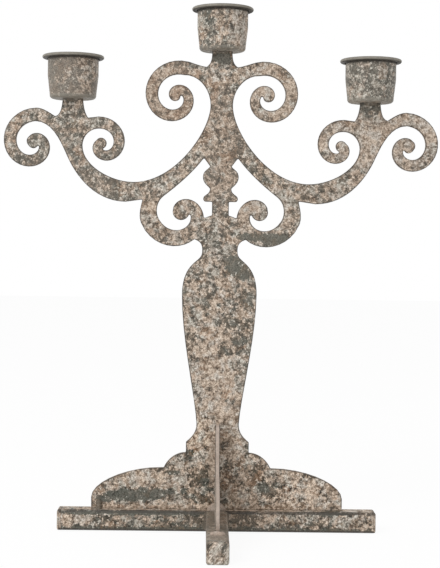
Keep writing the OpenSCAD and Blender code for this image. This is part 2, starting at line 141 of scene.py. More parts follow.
class PaintSettings(bpy.types.PropertyGroup):
    """The tones of the distressed paint."""

    umber: FloatVectorProperty(
        name="Umber", description="Undercoat", subtype="COLOR", size=3,
        min=0, max=1, default=linear("#777369"))
    stone: FloatVectorProperty(
        name="Stone", description="Undercoat under a haze of chalk", subtype="COLOR", size=3,
        min=0, max=1, default=linear("#8f867b"))
    tan: FloatVectorProperty(
        name="Tan", description="Chalk paint where it is thin", subtype="COLOR", size=3,
        min=0, max=1, default=linear("#b5a99c"))
    chalk: FloatVectorProperty(
        name="Chalk", description="Chalk paint where it is thick", subtype="COLOR", size=3,
        min=0, max=1, default=linear("#d9cec2"))
    cream: FloatVectorProperty(
        name="Cream", description="Fine pale flecks", subtype="COLOR", size=3,
        min=0, max=1, default=linear("#ece4d9"))
    slate: FloatVectorProperty(
        name="Slate", description="Cool glaze over parts of the paint", subtype="COLOR", size=3,
        min=0, max=1, default=linear("#f3f7f6"))
    peach: FloatVectorProperty(
        name="Peach", description="Warm glaze over parts of the paint", subtype="COLOR", size=3,
        min=0, max=1, default=linear("#fff4ea"))
    rust: FloatVectorProperty(
        name="Rust", description="Rust-tan dabs", subtype="COLOR", size=3,
        min=0, max=1, default=linear("#a4805f"))
    shade: FloatVectorProperty(
        name="Shade", description="Dark flecks and veins", subtype="COLOR", size=3,
        min=0, max=1, default=linear("#aca59d"))
    sand: FloatVectorProperty(
        name="Sand", description="Finest grain", subtype="COLOR", size=3,
        min=0, max=1, default=linear("#b6b1ab"))
    middle: FloatVectorProperty(
        name="Middle", description="Tone that the paint nears where its contrast is low",
        subtype="COLOR", size=3, min=0, max=1, default=linear("#a09488"))
    # The dark of worn edges, which also lays the painted shade under the cups' rims
    dark_of_wear_and_shade: FloatVectorProperty(
        name="Dark of wear and shade", description="Worn edges", subtype="COLOR", size=3,
        min=0, max=1, default=linear("#3b352e"))


class StageSettings(bpy.types.PropertyGroup):
    """Floor, light and camera."""

    floor: FloatVectorProperty(
        name="Floor", description="Colour of the floor", subtype="COLOR", size=3,
        min=0, max=1, default=linear("#fafafa"))
    sky: FloatProperty(
        name="Room light", description="Strength of the light from all round",
        default=0.62, min=0, max=2)
    key: FloatProperty(
        name="Key light", description="Power of the large lamp in front", default=7.0, min=0, max=60,
        subtype="POWER")


# Nodes


def add(tree, kind, inputs=(), **settings):
    """Adds a node with its settings. An input is given a value, or is linked to an output."""
    node = tree.nodes.new(kind)
    for name, value in settings.items():
        setattr(node, name, value)
    for key, value in dict(inputs).items():
        if isinstance(value, bpy.types.NodeSocket):
            tree.links.new(value, node.inputs[key])
        else:
            node.inputs[key].default_value = value
    return node


def colour(value):
    """A colour as a colour socket takes it, with full opacity."""
    return (*value, 1.0)


# Sockets of a Mix node that mixes two colours
SHARE, UNDER, OVER, MIXED = 0, 6, 7, 2


# Where the sheet's paint is rubbed down to the undercoat (bias below 0) or thick (above 0), and
# where it is warmer or cooler, with painted shade or light in the rows marked so: x and z of the
# middle, half width and half height in millimetres, tilt in degrees, then the changes of bias,
# warmth and contrast.
SHEET_PATCHES = (
    (8.5, 126.0, 7.5, 4.0, -38, -0.30, -0.03),  # right shoulder of the baluster
    (22.0, 140.0, 14.0, 2.0, -4, -0.36, 0),  # lower right scroll
    (0.0, 225.0, 3.8, 3.4, 0, -0.27, -0.14),  # neck of the middle cup, darker under the cup: rubbed paint with painted shade
    (-70.7, 202.0, 3.5, 3.0, 0, 0.06, 0),
    (70.7, 202.4, 5.6, 4.0, 0, -0.26, -0.08, 0.1),  # neck of the right cup, darker under the cup: rubbed paint with painted shade
    (-39.0, 16.6, 19.0, 2.7, 4, -0.26, -0.04),  # left foot
    (-22.0, 27.5, 3.4, 1.2, 5, -0.26, 0),
    (-12.3, 37.6, 2.4, 1.4, 0, -0.22, 0),
    (9.6, 91.0, 3.6, 2.0, 0, -0.13, 0),  # dabs on the baluster
    (2.3, 85.4, 2.6, 2.6, 0, -0.20, 0),
    (3.0, 64.0, 2.4, 3.2, 20, -0.22, 0),
    (11.0, 103.8, 4.2, 2.6, 0, 0.20, 0),
    (13.5, 109.0, 2.8, 8.0, 0, -0.10, -0.06),
    (4.5, 99.5, 4.0, 2.4, 0, -0.15, 0),
    (-6.5, 108.0, 2.0, 5.0, 0, -0.12, -0.05),
    (5.0, 119.0, 5.0, 2.4, -10, 0.13, 0.05),  # thick islands of chalk
    (1.0, 112.0, 3.4, 2.6, 0, 0.13, 0.06),
    (-12.5, 113.0, 2.4, 5.0, 0, 0.10, 0),
    (-3.0, 93.6, 5.5, 2.8, 0, 0.10, 0.04),
    (9.0, 22.0, 8.0, 12.0, 0, 0, 0.07, -0.1),  # beside the fins
    (-7.0, 21.0, 7.0, 10.0, 0, -0.14, 0.06, 0.1),
    (-2.4, 30.0, 1.5, 14.0, 0, 0.22, 0.05, -0.4),
    (0.0, 26.0, 64.0, 30.0, 0, 0.02, 0, 0.14),  # whole foot
    (26.0, 19.5, 6.5, 2.4, 0, -0.15, 0),
    (17.0, 27.0, 6.0, 4.0, 30, -0.05, 0.16),
    (-1.0, 66.0, 11.0, 28.0, 0, 0.12, 0.03),  # lower half of the baluster
    (-9.5, 44.0, 4.5, 10.0, 0, 0.10, -0.02, 0.4),
    (9.0, 44.0, 5.0, 9.0, 0, 0.21, 0.05, -0.08),
    (-28.0, 24.5, 24.0, 4.4, -14, 0.14, 0),  # top of the left foot
    (0.0, 10.8, 59.0, 1.7, 0, 0.22, 0.04),  # just above the long bar
    (42.0, 19.0, 15.0, 9.0, 18, 0.10, 0.03, 0.18),
    (0.0, 216.0, 6.0, 4.0, 0, 0.08, 0.04),
    (-70.0, 170.0, 30.0, 18.0, 0, -0.05, 0.03, -0.15),  # left arm
    (-25.0, 208.0, 14.0, 17.0, 0, 0.07, 0.26, -0.2),  # upper scrolls
    (25.0, 208.0, 14.0, 17.0, 0, 0.07, 0.05, -0.1),
    (0.0, 180.0, 10.0, 30.0, 0, 0, 0.10, -0.15),  # stem
    (-22.0, 150.0, 16.0, 14.0, 0, 0.05, 0.07, -0.05),  # lower scrolls
    (22.0, 152.0, 16.0, 10.0, 0, 0.08, 0, -0.05),
    (72.0, 190.0, 34.0, 18.0, 0, 0.14, 0, -0.17),  # right arm
    (0.0, 105.0, 15.0, 26.0, 0, 0.01, 0.02, 0.05),
)
BAR_PATCHES = (
    (-69.0, 6.5, 7.0, 4.0, 0, 0.14, 0),
    (66.0, 5.5, 10.0, 4.0, 0, 0.10, 0),
    (55.0, 9.6, 5.5, 1.6, 0, -0.30, 0),
    (-10.0, 10.4, 66.0, 0.9, 0, 0.24, 0.04),  # upper face, lighter: painted light from above
    # the same painted light on the right of the upper face
    (70.0, 10.4, 12.0, 0.9, 0, 0.20, 0),
    (-20.0, 4.0, 26.0, 5.0, 0, -0.06, 0),
    (10.0, 6.0, 8.0, 5.0, 0, -0.06, 0.05),
    (-40.0, 8.8, 40.0, 1.0, 0, -0.40, -0.04),
    (0.0, 1.0, 80.0, 1.3, 0, -0.24, 0),  # along the ground, darker: painted shade under the bar's lower edge
)
CUP_PATCHES = (
    (-78.0, 220.0, 4.5, 14.0, 0, -0.08, 0),
    (-63.0, 222.0, 4.5, 12.0, 0, 0.14, 0, 0.2),
    (-8.5, 242.0, 4.5, 14.0, 0, -0.07, 0, 0.1),
    (8.5, 242.0, 5.0, 14.0, 0, 0.10, -0.06),
    (70.0, 218.0, 13.0, 14.0, 0, -0.04, -0.14),
    (75.2, 218.8, 2.2, 3.3, 0, 0.42, 0.04),  # cream blob of the right cup
)
# On the front bar's upper face, where the second number is the middle's y
BAR_TOP_PATCHES = (
    (2.8, -25.0, 2.6, 22.0, 0, 0, 0.16),  # right of the fin
    (-3.0, -20.0, 2.5, 22.0, 0, -0.16, 0.12, -0.2),
    (0.0, -62.0, 7.0, 16.0, 0, -0.05, 0.04, -0.3),
)


# A patch in its own half widths: how far it is felt at all, where it is faint and where it is
# full, and how far the noise pushes its edge in and out.
PATCH_REACH, PATCH_FAINT, PATCH_FULL, PATCH_WARP = 3.0, 1.25, 0.8, 1.3
# That noise: steps per metre, detail and roughness
PATCH_NOISE = {"Scale": 300, "Detail": 4, "Roughness": 0.65}


def patch_sums(tree, position, warp, patches, on_top):
    """The patches' bias, warmth and contrast at a point. They lie on upright faces, or on top.

    Cycles' shader stack limits the patches of one material: with the gradient texture it holds 78
    of them but not 117, and with a vector length here fewer than 39. A material that overflows renders
    black.
    """
    sums = [0.0, 0.0, 0.0]
    for x, z, half_x, half_z, tilt, *amounts in patches:
        place, reach, turn = (x, 0, z), (half_x, FAR, half_z), (0, -tilt, 0)
        if on_top:
            place, reach, turn = (x, z, 0), (half_x, half_z, FAR), (0, 0, tilt)
        local = add(tree, "ShaderNodeMapping", {
            "Vector": position, "Location": Vector(place) * MM,
            "Scale": Vector(reach) * PATCH_REACH * MM,
            "Rotation": [math.radians(a) for a in turn],
        }, vector_type="TEXTURE").outputs[0]
        near = add(tree, "ShaderNodeTexGradient", {"Vector": local},
                   gradient_type="SPHERICAL").outputs["Fac"]
        ragged = add(tree, "ShaderNodeMath", {0: near, 1: warp}, operation="SUBTRACT").outputs[0]
        share = add(tree, "ShaderNodeMapRange", {
            "Value": ragged, "From Min": 1 - PATCH_FAINT / PATCH_REACH,
            "From Max": 1 - PATCH_FULL / PATCH_REACH,
        }, interpolation_type="SMOOTHSTEP").outputs["Result"]
        for number, amount in enumerate(amounts):
            if amount:
                sums[number] = add(tree, "ShaderNodeMath", {0: share, 1: amount, 2: sums[number]},
                                   operation="MULTIPLY_ADD").outputs[0]
    return sums


# Noise fields of the paint: steps per metre (1000 / steps is the size in millimetres), detail,
# roughness and kind.
FIELDS = {
    "region": (60, 3, 0.5, "FBM"),
    "island": (330, 5, 0.72, "FBM"),
    "soft": (330, 1, 0.5, "FBM"),
    "tone": (130, 2, 0.55, "FBM"),
    "blend": (480, 4, 0.65, "FBM"),
    "rust": (120, 4, 0.65, "FBM"),
    "dark": (760, 2, 0.6, "FBM"),
    "pale": (700, 2, 0.6, "FBM"),
    "vein": (420, 1, 0.5, "RIDGED_MULTIFRACTAL"),
    "grain": (1700, 2, 0.6, "FBM"),
    "edge": (260, 4, 0.7, "FBM"),
}

# Coats of the paint, from the undercoat up. Each has its way of covering, its colour, its
# strength, and what lays it: a weighted sum of fields, of the patches' bias and of their warmth,
# and the two levels of that sum, counted from the fields' middle, between which it comes in.
COATS = (
    ("haze", "MIX", "stone", 0.9,
     {"blend": 1.0, "grain": 0.4, "bias": 0.15}, -0.04, 0.12),
    ("islands", "MIX", "tan", 1.0,
     {"island": 1.0, "region": 0.5, "grain": 0.3, "bias": 1.0}, -0.05, 0.05),
    ("chalk", "MIX", "chalk", 0.95,
     {"island": 0.7, "blend": 0.9, "region": 0.2, "bias": 0.8}, 0.0, 0.12),
    ("rust", "MIX", "rust", 0.42,
     {"rust": 1.0, "grain": 0.2, "bias": 0.1, "warmth": 0.6}, 0.06, 0.18),
    ("pale flecks", "MIX", "cream", 0.95,
     {"pale": 1.0, "island": 0.3, "grain": 0.2, "bias": 0.4}, 0.04, 0.12),
    ("cool", "MULTIPLY", "slate", 1.0,
     {"tone": 0.8, "soft": -1.0, "bias": -1.1, "warmth": -1.0}, 0.0, 0.18),
    ("warm", "MULTIPLY", "peach", 1.0,
     {"tone": -0.8, "soft": 0.7, "bias": 0.2, "warmth": 1.0}, -0.10, 0.12),
    ("dark flecks", "MULTIPLY", "shade", 0.9,
     {"dark": 1.0, "island": -0.3, "grain": 0.2, "bias": 0.2}, 0.04, 0.13),
    ("veins", "MULTIPLY", "shade", 0.95,
     {"vein": 1.0, "island": 0.3, "bias": 0.25}, 0.33, 0.44),
    ("gaps", "MULTIPLY", "shade", 0.35,
     {"island": -1.0, "blend": -0.4, "bias": 0.3}, 0.02, 0.12),
    ("sand", "MULTIPLY", "sand", 1.0,
     {"grain": -1.0}, -0.14, 0.20),
)
BARE_ROUGHNESS, CHALK_ROUGHNESS = 0.52, 0.8
GRAIN_HEIGHT = 0.5  # how high the grain stands, next to an island of chalk
COAT_HEIGHT, COAT_RELIEF = 0.08 * MM, 0.6  # an island's height, and how strongly it is shaded
# An even coat's tone between the dips and the peaks of the blend noise
BLEND_DIP, BLEND_PEAK, DIP_TONE, PEAK_TONE = 0.3, 0.7, 0.85, 1.15
# Noise of a worn edge, and of the painted shade under the cups' rims: its weight next to that mark,
# and the sums where the dark starts and is full
WEAR_SHADE_NOISE_WEIGHT, WEAR_SHADE_START, WEAR_SHADE_FULL = 1.6, 1.2, 1.55


def paint_group():
    """Chalk paint dabbed over an umber undercoat and rubbed back, as one group of nodes.

    The chalk paint lies in ragged islands of about 3 mm, from a thin haze and tan to thick
    chalk. Rust-tan dabs of 8 mm, pale flecks of 1.4 mm, cool and warm glazes, dark flecks of
    1.3 mm, thin dark veins and a sand of 0.6 mm lie on top. Along edges where the paint is thin the
    dark metal comes through, and the same dark, where a mesh marks it, is painted shade under the
    cups' rims. A cut wall has an even coat.
    """
    name = "distressed chalk paint"
    if name in bpy.data.node_groups:
        return bpy.data.node_groups[name]
    paint = bpy.context.scene.candlestick_paint
    tree = bpy.data.node_groups.new(name, "ShaderNodeTree")
    for label, kind in (("Position", "NodeSocketVector"), ("Bias", "NodeSocketFloat"),
                        ("Warmth", "NodeSocketFloat"), ("Contrast", "NodeSocketFloat"),
                        ("Worn and shaded", "NodeSocketFloat"), ("Even", "NodeSocketFloat"),
                        ("Even tone", "NodeSocketColor")):
        tree.interface.new_socket(label, in_out="INPUT", socket_type=kind)
    for label, kind in (("Color", "NodeSocketColor"), ("Roughness", "NodeSocketFloat"),
                        ("Height", "NodeSocketFloat")):
        tree.interface.new_socket(label, in_out="OUTPUT", socket_type=kind)
    given = add(tree, "NodeGroupInput").outputs

    fields = {}
    for number, (label, (scale, detail, rough, kind)) in enumerate(FIELDS.items(), 1):
        place = add(tree, "ShaderNodeVectorMath", {0: given["Position"], 1: (number,) * 3}).outputs[0]
        fields[label] = add(tree, "ShaderNodeTexNoise", {
            "Vector": place, "Scale": scale, "Detail": detail, "Roughness": rough,
        }, noise_type=kind).outputs["Fac"]

    fields.update(bias=given["Bias"], warmth=given["Warmth"])

    masks = {}
    tone = colour(paint.umber)
    for label, blend, value, strength, weights, low, high in COATS:
        total = 0.0
        for field, weight in weights.items():
            total = add(tree, "ShaderNodeMath", {0: fields[field], 1: weight, 2: total},
                        operation="MULTIPLY_ADD").outputs[0]
        centre = sum(weight for field, weight in weights.items() if field in FIELDS) / 2
        mask = masks[label] = add(tree, "ShaderNodeMapRange", {
            "Value": total, "From Min": centre + low, "From Max": centre + high, "To Max": strength,
        }, interpolation_type="SMOOTHSTEP").outputs["Result"]
        coat = colour(getattr(paint, value))
        if label == "sand":
            tone = add(tree, "ShaderNodeMix", {
                SHARE: given["Contrast"], UNDER: colour(paint.middle), OVER: tone,
            }, data_type="RGBA", clamp_factor=False, clamp_result=True).outputs[MIXED]
        tone = add(tree, "ShaderNodeMix", {SHARE: mask, UNDER: tone, OVER: coat},
                   data_type="RGBA", blend_type=blend).outputs[MIXED]

    mottle = add(tree, "ShaderNodeMapRange", {
        "Value": fields["blend"], "From Min": BLEND_DIP, "From Max": BLEND_PEAK,
        "To Min": DIP_TONE, "To Max": PEAK_TONE}).outputs["Result"]
    smooth = add(tree, "ShaderNodeMix", {SHARE: 1.0, UNDER: given["Even tone"], OVER: mottle},
                 data_type="RGBA", blend_type="MULTIPLY").outputs[MIXED]
    tone = add(tree, "ShaderNodeMix", {SHARE: given["Even"], UNDER: tone, OVER: smooth},
               data_type="RGBA").outputs[MIXED]
    # Dark metal along a worn edge; on the cups the same dark, marked under the rims, is painted shade
    rub_and_shade_sum = add(tree, "ShaderNodeMath", {0: fields["edge"], 1: WEAR_SHADE_NOISE_WEIGHT, 2: given["Worn and shaded"]},
                 operation="MULTIPLY_ADD").outputs[0]
    wear_and_shade_share = add(tree, "ShaderNodeMapRange", {
        "Value": rub_and_shade_sum, "From Min": WEAR_SHADE_START, "From Max": WEAR_SHADE_FULL,
    }, interpolation_type="SMOOTHSTEP").outputs["Result"]
    worn = add(tree, "ShaderNodeMath", {0: wear_and_shade_share, 1: given["Worn and shaded"]}, operation="MULTIPLY").outputs[0]
    tone = add(tree, "ShaderNodeMix", {SHARE: worn, UNDER: tone, OVER: colour(paint.dark_of_wear_and_shade)},
               data_type="RGBA").outputs[MIXED]
    rough = add(tree, "ShaderNodeMapRange", {
        "Value": masks["islands"], "To Min": BARE_ROUGHNESS, "To Max": CHALK_ROUGHNESS})
    height = add(tree, "ShaderNodeMath", {
        0: fields["grain"], 1: GRAIN_HEIGHT, 2: masks["islands"]}, operation="MULTIPLY_ADD")
    add(tree, "NodeGroupOutput", {"Color": tone, "Roughness": rough.outputs["Result"],
                                  "Height": height.outputs[0]})
    return tree


def painted_metal(name, shift=(0, 0, 0), bias=0.0, contrast=1.0, patches=(), on_top=False,
                  even=None, worn=None, even_tone="#978a7e", evenness=0.0, strokes=None):
    """A material of distressed chalk paint. shift moves the pattern, so that no two parts match.

    even names the mesh attribute that marks an even coat, and the other attribute marks the dark of
    an edge where the paint is thin, on the cups also the painted shade under the rim. evenness is how
    far the whole piece has the even coat, and even_tone is that coat's colour. strokes are the
    brush's tilt in degrees and how far it drew the paint out along each axis.
    """
    material = bpy.data.materials.new(name)
    material.use_nodes = True
    tree = material.node_tree
    tree.nodes.clear()
    place = add(tree, "ShaderNodeTexCoord").outputs["Object"]
    drawn = place
    if strokes:
        tilt, stretch = strokes
        drawn = add(tree, "ShaderNodeMapping", {
            "Vector": place, "Rotation": (0, math.radians(tilt), 0), "Scale": stretch,
        }, vector_type="TEXTURE").outputs[0]
    moved = add(tree, "ShaderNodeVectorMath", {0: drawn, 1: shift}, operation="ADD").outputs[0]
    group = add(tree, "ShaderNodeGroup", node_tree=paint_group())
    tree.links.new(moved, group.inputs["Position"])
    group.inputs["Bias"].default_value = bias
    group.inputs["Contrast"].default_value = contrast
    group.inputs["Even tone"].default_value = colour(linear(even_tone))
    group.inputs["Even"].default_value = evenness
    if patches:
        stir = add(tree, "ShaderNodeTexNoise", {"Vector": moved, **PATCH_NOISE}).outputs["Fac"]
        warp = PATCH_WARP / PATCH_REACH
        ragged = add(tree, "ShaderNodeMapRange", {"Value": stir, "To Min": -warp, "To Max": warp})
        sums = patch_sums(tree, place, ragged.outputs["Result"], patches, on_top)
        for socket, base, change in zip(("Bias", "Warmth", "Contrast"), (bias, 0.0, contrast), sums):
            total = add(tree, "ShaderNodeMath", {0: change, 1: base}, operation="ADD").outputs[0]
            tree.links.new(total, group.inputs[socket])
    for attribute, socket in ((even, "Even"), (worn, "Worn and shaded")):
        if attribute:
            mark = add(tree, "ShaderNodeAttribute", attribute_name=attribute).outputs["Fac"]
            tree.links.new(mark, group.inputs[socket])
    bump = add(tree, "ShaderNodeBump", {
        "Strength": COAT_RELIEF, "Distance": COAT_HEIGHT, "Height": group.outputs["Height"],
    }).outputs[0]
    shader = add(tree, "ShaderNodeBsdfPrincipled", {
        "Base Color": group.outputs["Color"], "Roughness": group.outputs["Roughness"],
        "Normal": bump, "Metallic": 0.0})
    add(tree, "ShaderNodeOutputMaterial", {"Surface": shader.outputs[0]})
    return material


# Meshes


def link(mesh, name):
    """A new object at the origin, in the scene."""
    piece = bpy.data.objects.new(name, mesh)
    bpy.context.scene.collection.objects.link(piece)
    return piece


def settle(piece, slot, *nodes):
    """Puts a finished piece on the model's one body, in place of its nodes."""
    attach(piece, BODY)
    if nodes:
        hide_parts(*nodes)


ROUND_STEPS = 3  # flats across a sheet's round edge
EDGE_WEAR = 0.8  # how bare the paint is on a cut edge
SHORT_EDGE = 0.12 * MM  # outline edges below this are merged away before the edges are rounded
# How far a face's normal lies across the sheet: at least, on its two sides, and at most, on its
# cut wall
SHEET_SIDE, SHEET_WALL = 0.99, 0.05
SHEET_CREASE = math.radians(50)  # an edge sharper than this stays sharp in the shading


def cut_sheet(node, name, across, material, settings):
    """A sheet node's own outline with round cut edges, and a worn band along them on both faces."""
    low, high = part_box(node)
    middle, half = (high[across] + low[across]) / 2, (high[across] - low[across]) / 2
    work = bmesh.new()
    work.from_mesh(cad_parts[node].data)
    bmesh.ops.remove_doubles(work, verts=work.verts, dist=SHORT_EDGE)
    worn = work.loops.layers.float.new("worn")
    wall = work.faces.layers.float.new("wall")
    flat = [f for f in work.faces if abs(f.normal[across]) > SHEET_SIDE]
    round_r = settings.edge_round
    # Insets that land on a quarter circle, then the worn band
    angles = [math.radians(90 * i / ROUND_STEPS) for i in range(ROUND_STEPS + 1)]
    insets = [round_r * (math.cos(a) - math.cos(b)) for a, b in zip(angles, angles[1:])]
    rings = []
    for width in (*insets, settings.worn_band):
        ring = bmesh.ops.inset_region(work, faces=flat, thickness=width, use_even_offset=True)
        rings.append({v for f in ring["faces"] for v in f.verts})
    for number, a in enumerate(angles):
        line = rings[0] - rings[1] if number == 0 else rings[number - 1] & rings[number]
        for vert in line:
            side = 1 if vert.co[across] > middle else -1
            vert.co[across] = middle + side * (half - round_r * (1 - math.sin(a)))
    inner = {v for f in flat for v in f.verts}
    work.normal_update()
    for face in work.faces:
        face.smooth = True
        face[wall] = float(abs(face.normal[across]) < SHEET_WALL)
        for loop in face.loops:
            free = loop.vert not in inner and loop.vert.co.z > BAR_HIGH.z + round_r
            loop[worn] = EDGE_WEAR * free * (1 - face[wall])
    mesh = bpy.data.meshes.new(name)
    work.to_mesh(mesh)
    work.free()
    mesh.set_sharp_from_angle(angle=SHEET_CREASE)
    mesh.materials.append(material)
    return link(mesh, name)


# A round corner's normal lies less than this along the bar, and less than this along any axis
ALONG_BAR, FLAT_FACE = 0.3, 0.98
CREASE = math.radians(40)


def merged_copy(node, name, material, lengthwise, wear):
    """A plain node's own shape, merged, with the round corners along its length marked as worn."""
    work = bmesh.new()
    work.from_mesh(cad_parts[node].data)
    bmesh.ops.remove_doubles(work, verts=work.verts, dist=SAME_PLACE)
    worn = work.faces.layers.float.new("worn")
    for face in work.faces:
        along = abs(face.normal[lengthwise])
        face[worn] = wear * (along < ALONG_BAR and max(abs(c) for c in face.normal) < FLAT_FACE)
        face.smooth = True
    mesh = bpy.data.meshes.new(name)
    work.to_mesh(mesh)
    work.free()
    mesh.set_sharp_from_angle(angle=CREASE)
    mesh.materials.append(material)
    return link(mesh, name)


def arc(centre_r, centre_z, radius, from_a, to_a, steps=8):
    """Points of a profile on an arc, in degrees."""
    for i in range(steps + 1):
        a = math.radians(from_a + (to_a - from_a) * i / steps)
        yield centre_r + radius * math.cos(a), centre_z + radius * math.sin(a)


CUP_TAPER = 1.0 * MM  # how much less the floor's radius is than the wall's
CUP_FLOOR_ROUND = 1.6 * MM  # radius where the floor turns up into the wall
CUP_TAPER_TOP = 10.9 * MM  # height where the wall comes upright
CUP_MOUTH_ROUND = 0.8 * MM  # radius from the rim down into the cup
# Heights of the floor's worn corner, where the wear is faint and where it ends, in floor rounds
CORNER_FAINT, CORNER_END = 1.2, 1.9
CORNER_FLARE = 0.1 * MM  # how much wider the cup is there than at its floor
RIM_SHADE_FROM, RIM_SHADE_FULL = 1.4 * MM, 0.4 * MM  # how far below the rim the wall gets the rim's painted shade: where it starts and where it is full
HEM_DEPTH = 0.9  # how far the gap goes up into the folded rim, in the fold's radius
HEM_BREAK = 0.15 * MM  # the broken edge of the folded sheet


def cup_profile(cup):
    """A cup's section from the middle of its floor, out and up, over the rim and back inside.

    Each point is its radius and height, how even its coat is, and how dark: thin paint on the rim's top
    and the floor's corner, painted shade on the wall under the rim, in the hem's gap and on the rim's
    underside.
    """
    height = CUP_HIGH.z - CUP_LOW.z
    rim_r = (CUP_HIGH.x - CUP_LOW.x) / 2
    outer = rim_r - cup.rim_reach
    floor_r, floor_round, inside = outer - CUP_TAPER, CUP_FLOOR_ROUND, outer - cup.wall
    fold = cup.rim_height / 2
    under = height - cup.rim_height
    mouth = CUP_MOUTH_ROUND
    hem = outer + cup.hem_gap
    parts = (
        (0, 0, [(0.0, 0.0)]),
        (0.6, 0, arc(floor_r - floor_round, floor_round, floor_round, -90, -10)),
        (0, 0.35, [(floor_r, floor_round * CORNER_FAINT)]),
        (0, 0, [(floor_r + CORNER_FLARE, floor_round * CORNER_END), (outer, CUP_TAPER_TOP),
                (outer, under - RIM_SHADE_FROM)]),
        # Painted shade under the rim: the wall just below it and the hem's gap are dark
        (0, 0.9, [(outer, under - RIM_SHADE_FULL), (outer, under + HEM_DEPTH * fold),
                  (hem, under + HEM_DEPTH * fold), (hem, under + HEM_BREAK)]),
        # Painted shadow on the rim's underside
        (1, 0.9, [(hem + HEM_BREAK, under)]),
        (1, 0.9, arc(rim_r - fold, height - fold, fold, -90, -40)),
        (1, 0, arc(rim_r - fold, height - fold, fold, -20, 35)),
        (1, 0.8, arc(rim_r - fold, height - fold, fold, 50, 80)),
        (1, 0.3, [(rim_r - fold, height)]),
        (0.5, 0.3, arc(inside + mouth, height - mouth, mouth, 90, 180)),
        (0, 0, [(inside, CUP_TAPER_TOP)]),
        (0, 0, arc(floor_r - floor_round, floor_round, floor_round - cup.wall, 0, -90)),
        (0, 0, [(0.0, cup.wall)]),
    )
    return [(r, z, even, worn) for even, worn, points in parts for r, z in points]


def socket_of(tree, name):
    """The identifier of a tree's input, by its name."""
    return next(s.identifier for s in tree.interface.items_tree
                if s.name == name and s.in_out == "INPUT")


def spin_tree():
    """Nodes that turn a profile, a row of points in the plane y = 0, round the upright axis."""
    tree = bpy.data.node_groups.new("spin a profile", "GeometryNodeTree")
    for label, kind in (("Geometry", "NodeSocketGeometry"), ("Segments", "NodeSocketInt"),
                        ("Seat", "NodeSocketVector"), ("Finish", "NodeSocketMaterial")):
        tree.interface.new_socket(label, in_out="INPUT", socket_type=kind)
    tree.interface.new_socket("Geometry", in_out="OUTPUT", socket_type="NodeSocketGeometry")
    given = add(tree, "NodeGroupInput").outputs
    size = add(tree, "GeometryNodeAttributeDomainSize", {0: given["Geometry"]}).outputs["Point Count"]
    around = add(tree, "ShaderNodeMath", {0: given["Segments"], 1: 1.0}).outputs[0]
    shape = add(tree, "GeometryNodeMeshGrid", {"Vertices X": around, "Vertices Y": size}).outputs[0]
    index = add(tree, "GeometryNodeInputIndex").outputs[0]
    step = add(tree, "ShaderNodeMath", {0: index, 1: size}, operation="DIVIDE").outputs[0]
    turn_no = add(tree, "ShaderNodeMath", {0: step}, operation="FLOOR").outputs[0]
    row = add(tree, "ShaderNodeMath", {0: index, 1: size}, operation="MODULO").outputs[0]
    angle = add(tree, "ShaderNodeMath", {0: turn_no, 1: math.tau}, operation="MULTIPLY").outputs[0]
    angle = add(tree, "ShaderNodeMath", {0: angle, 1: given["Segments"]}, operation="DIVIDE").outputs[0]
    for mark in ("even", "worn"):
        marked = add(tree, "GeometryNodeInputNamedAttribute", {"Name": mark}, data_type="FLOAT")
        value = add(tree, "GeometryNodeSampleIndex", {
            "Geometry": given["Geometry"], "Value": marked.outputs[0], "Index": row,
        }, data_type="FLOAT").outputs[0]
        shape = add(tree, "GeometryNodeStoreNamedAttribute", {
            "Geometry": shape, "Name": mark, "Value": value,
        }, data_type="FLOAT", domain="POINT").outputs[0]
    place = add(tree, "GeometryNodeInputPosition").outputs[0]
    point = add(tree, "GeometryNodeSampleIndex", {"Geometry": given["Geometry"], "Value": place,
                                                  "Index": row}, data_type="FLOAT_VECTOR")
    turned = add(tree, "ShaderNodeVectorRotate", {"Vector": point.outputs[0], "Angle": angle,
                                                  "Axis": (0, 0, 1)})
    moved = add(tree, "ShaderNodeVectorMath", {0: turned.outputs[0], 1: given["Seat"]}).outputs[0]
    shape = add(tree, "GeometryNodeSetPosition", {"Geometry": shape, "Position": moved}).outputs[0]
    shape = add(tree, "GeometryNodeMergeByDistance", {
        "Geometry": shape, "Distance": SAME_PLACE}).outputs[0]
    real = add(tree, "GeometryNodeRealizeInstances", {0: shape}).outputs[0]
    done = add(tree, "GeometryNodeSetMaterial", {"Geometry": real, "Material": given["Finish"]})
    add(tree, "NodeGroupOutput", {0: done.outputs[0]})
    return tree


LEAST_LUMP, MOST_LUMP = 0.86, 1.1  # a lump's size, as a share of the bead's
LUMP_THRESHOLD = 0.1  # how dense the lumps' cloud is at the bead's surface
LUMP_NOISE = {"Scale": 900, "Detail": 2}  # steps of 1.1 mm


